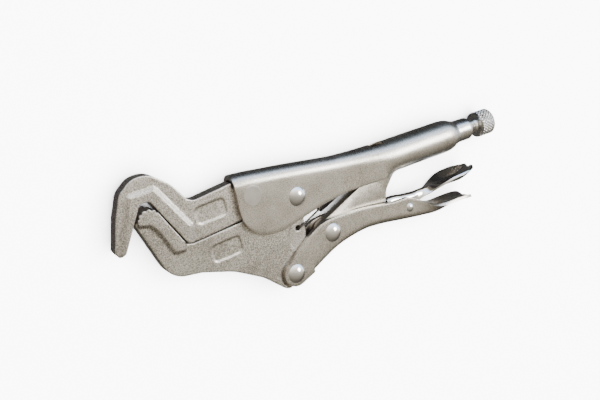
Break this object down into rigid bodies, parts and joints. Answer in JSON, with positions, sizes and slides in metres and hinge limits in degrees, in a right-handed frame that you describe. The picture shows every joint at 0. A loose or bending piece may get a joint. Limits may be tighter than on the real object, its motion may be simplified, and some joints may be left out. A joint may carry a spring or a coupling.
{
  "type": "locking pliers",
  "caption": "Locking pliers with a hooked upper jaw and a toothed lower jaw, a lever with an over-centre link, a release lever and a knurled adjusting screw.",
  "frame": {"origin": "centre of the tool's box, at the height of its lowest point, as it lies on its side", "axes": "+X along the tool, from the jaws to the knob; +Y across the tool, from the lever to the spine of the upper handle; +Z along the rivets, up from the side it lies on"},
  "size_m": [0.2477, 0.0858, 0.0196],
  "materials": {
    "plated_sheet": "satin nickel plate",
    "blasted_steel": "shot blasted and nickel plated",
    "turned_steel": "turned and nickel plated",
    "polished_steel": "polished",
    "spring_steel": "dark oiled wire"
  },
  "bodies": {
    "upper_handle": {"upper_handle": "plated_sheet", "upper_jaw": "blasted_steel", "jaw_rivet": "turned_steel", "main_rivet": "polished_steel", "threaded_collar": "turned_steel", "tension_spring": "spring_steel"},
    "lower_jaw": {"lower_jaw": "blasted_steel"},
    "lever": {"lever": "plated_sheet", "lever_rivet": "polished_steel", "link_rivet": "polished_steel", "release_rivet": "polished_steel"},
    "toggle_link": {"toggle_link": "blasted_steel"},
    "release_lever": {"release_lever": "polished_steel"},
    "adjusting_screw": {"adjusting_screw": "turned_steel"},
    "knob": {"knob": "turned_steel"}
  },
  "joints": [
    {"name": "jaw_hinge", "type": "hinge", "parent": "upper_handle", "child": "lower_jaw", "pos_m": [-0.0223, 0.00715, 0.0098], "axis": [0, 0, 1], "range_deg": [0, 25], "deforming": ["tension_spring"]},
    {"name": "lever_hinge", "type": "hinge", "parent": "lower_jaw", "child": "lever", "pos_m": [-0.0314, -0.03515, 0.0098], "axis": [0, 0, 1], "range_deg": [-70, 0]},
    {"name": "link_hinge", "type": "hinge", "parent": "lever", "child": "toggle_link", "pos_m": [-0.0041, -0.02035, 0.0098], "axis": [0, 0, 1], "range_deg": [0, 75]},
    {"name": "release_hinge", "type": "hinge", "parent": "lever", "child": "release_lever", "pos_m": [0.0508, -0.02345, 0.0098], "axis": [0, 0, 1], "range_deg": [-10, 0]},
    {"name": "screw_slide", "type": "slide", "parent": "upper_handle", "child": "adjusting_screw", "axis": [1, 0, 0], "range_m": [0, 0.025]},
    {"name": "knob_turn", "type": "hinge", "parent": "adjusting_screw", "child": "knob", "pos_m": [0.1177, 0.00965, 0.0098], "axis": [1, 0, 0], "range_deg": [0, 7300]}
  ],
  "couplings": [
    {"joint": "lever_hinge", "follows": "jaw_hinge", "ratio": -2.7608},
    {"joint": "link_hinge", "follows": "jaw_hinge", "ratio": 2.9558},
    {"joint": "knob_turn", "follows": "screw_slide", "rad_per_m": 5026.5}
  ]
}
